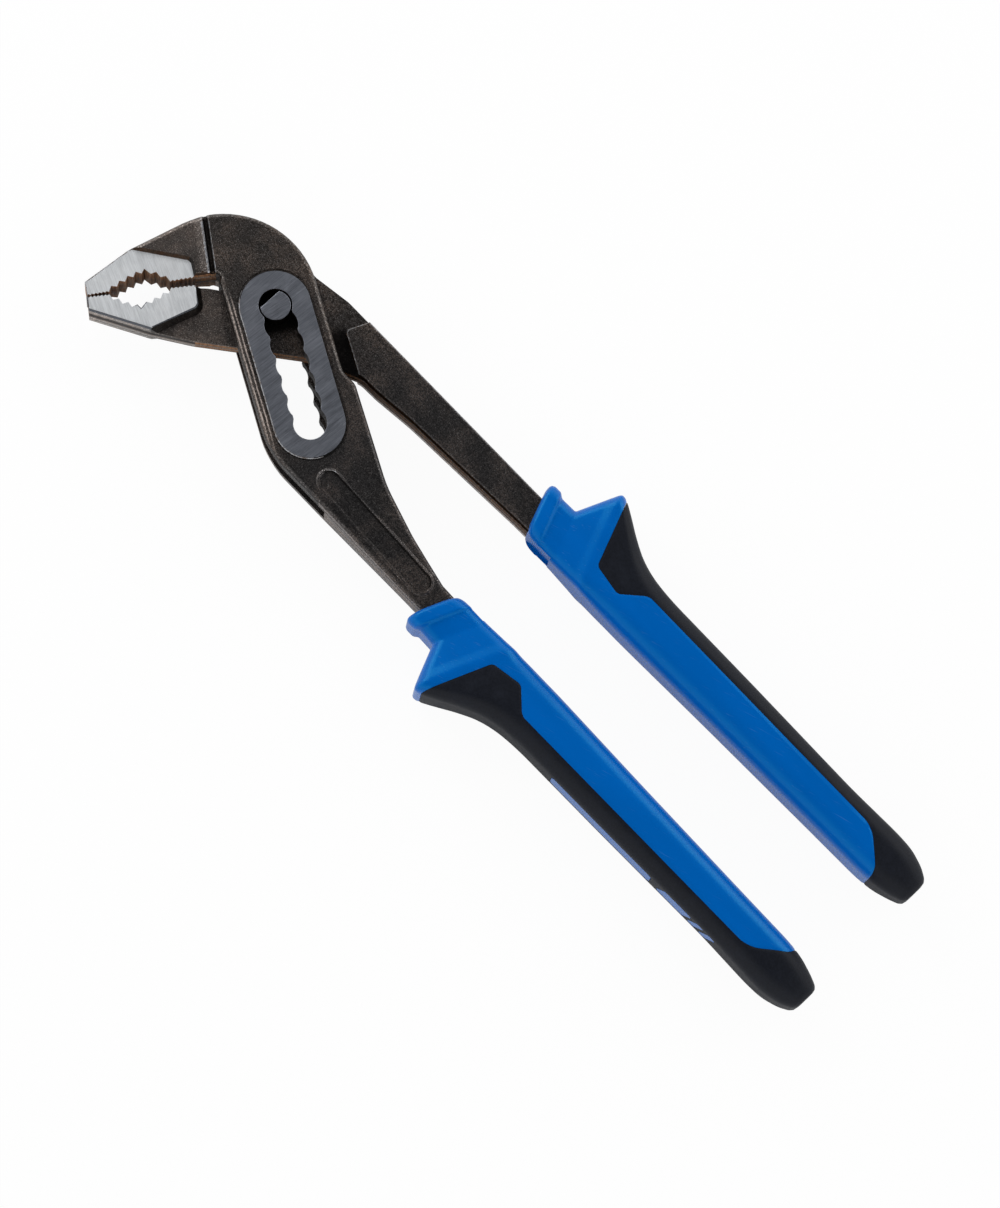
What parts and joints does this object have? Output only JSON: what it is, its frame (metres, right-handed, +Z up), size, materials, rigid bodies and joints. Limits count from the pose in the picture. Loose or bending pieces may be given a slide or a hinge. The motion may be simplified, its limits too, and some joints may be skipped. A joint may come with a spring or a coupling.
{
  "type": "water pump pliers",
  "caption": "Slip-joint water pump pliers with a boxed grooved slot, toothed angled jaws and two-colour guarded grips; the pin slides to set the jaw width and the jaws open by hinge.",
  "frame": {"origin": "centre of the tool's outline on the surface it lies on", "axes": "+X from the jaws to the grip ends, +Y from the outer arm's grip to the inner arm's grip, +Z up out of the plane of the tool"},
  "size_m": [0.252, 0.072, 0.0172],
  "materials": {
    "forged_steel": "dark oxidised forging with ground bright jaws",
    "ground_steel": "ground",
    "blue_plastic": "satin moulded",
    "black_rubber": "soft overmould"
  },
  "bodies": {
    "outer_arm": {"outer_arm": "forged_steel", "outer_grip_sleeve": "blue_plastic", "outer_grip_cover": "black_rubber"},
    "pivot_pin": {"pivot_pin": "ground_steel"},
    "inner_arm": {"inner_arm": "forged_steel", "inner_grip_sleeve": "blue_plastic", "inner_grip_cover": "black_rubber"}
  },
  "joints": [
    {"name": "slot_adjust", "type": "slide", "parent": "outer_arm", "child": "pivot_pin", "axis": [0.8862, -0.4633, 0], "range_m": [0, 0.0315]},
    {"name": "jaw_pivot", "type": "hinge", "parent": "pivot_pin", "child": "inner_arm", "pos_m": [-0.08875, 0.006, 0.0086], "axis": [0, 0, 1], "range_deg": [0, 64]}
  ]
}
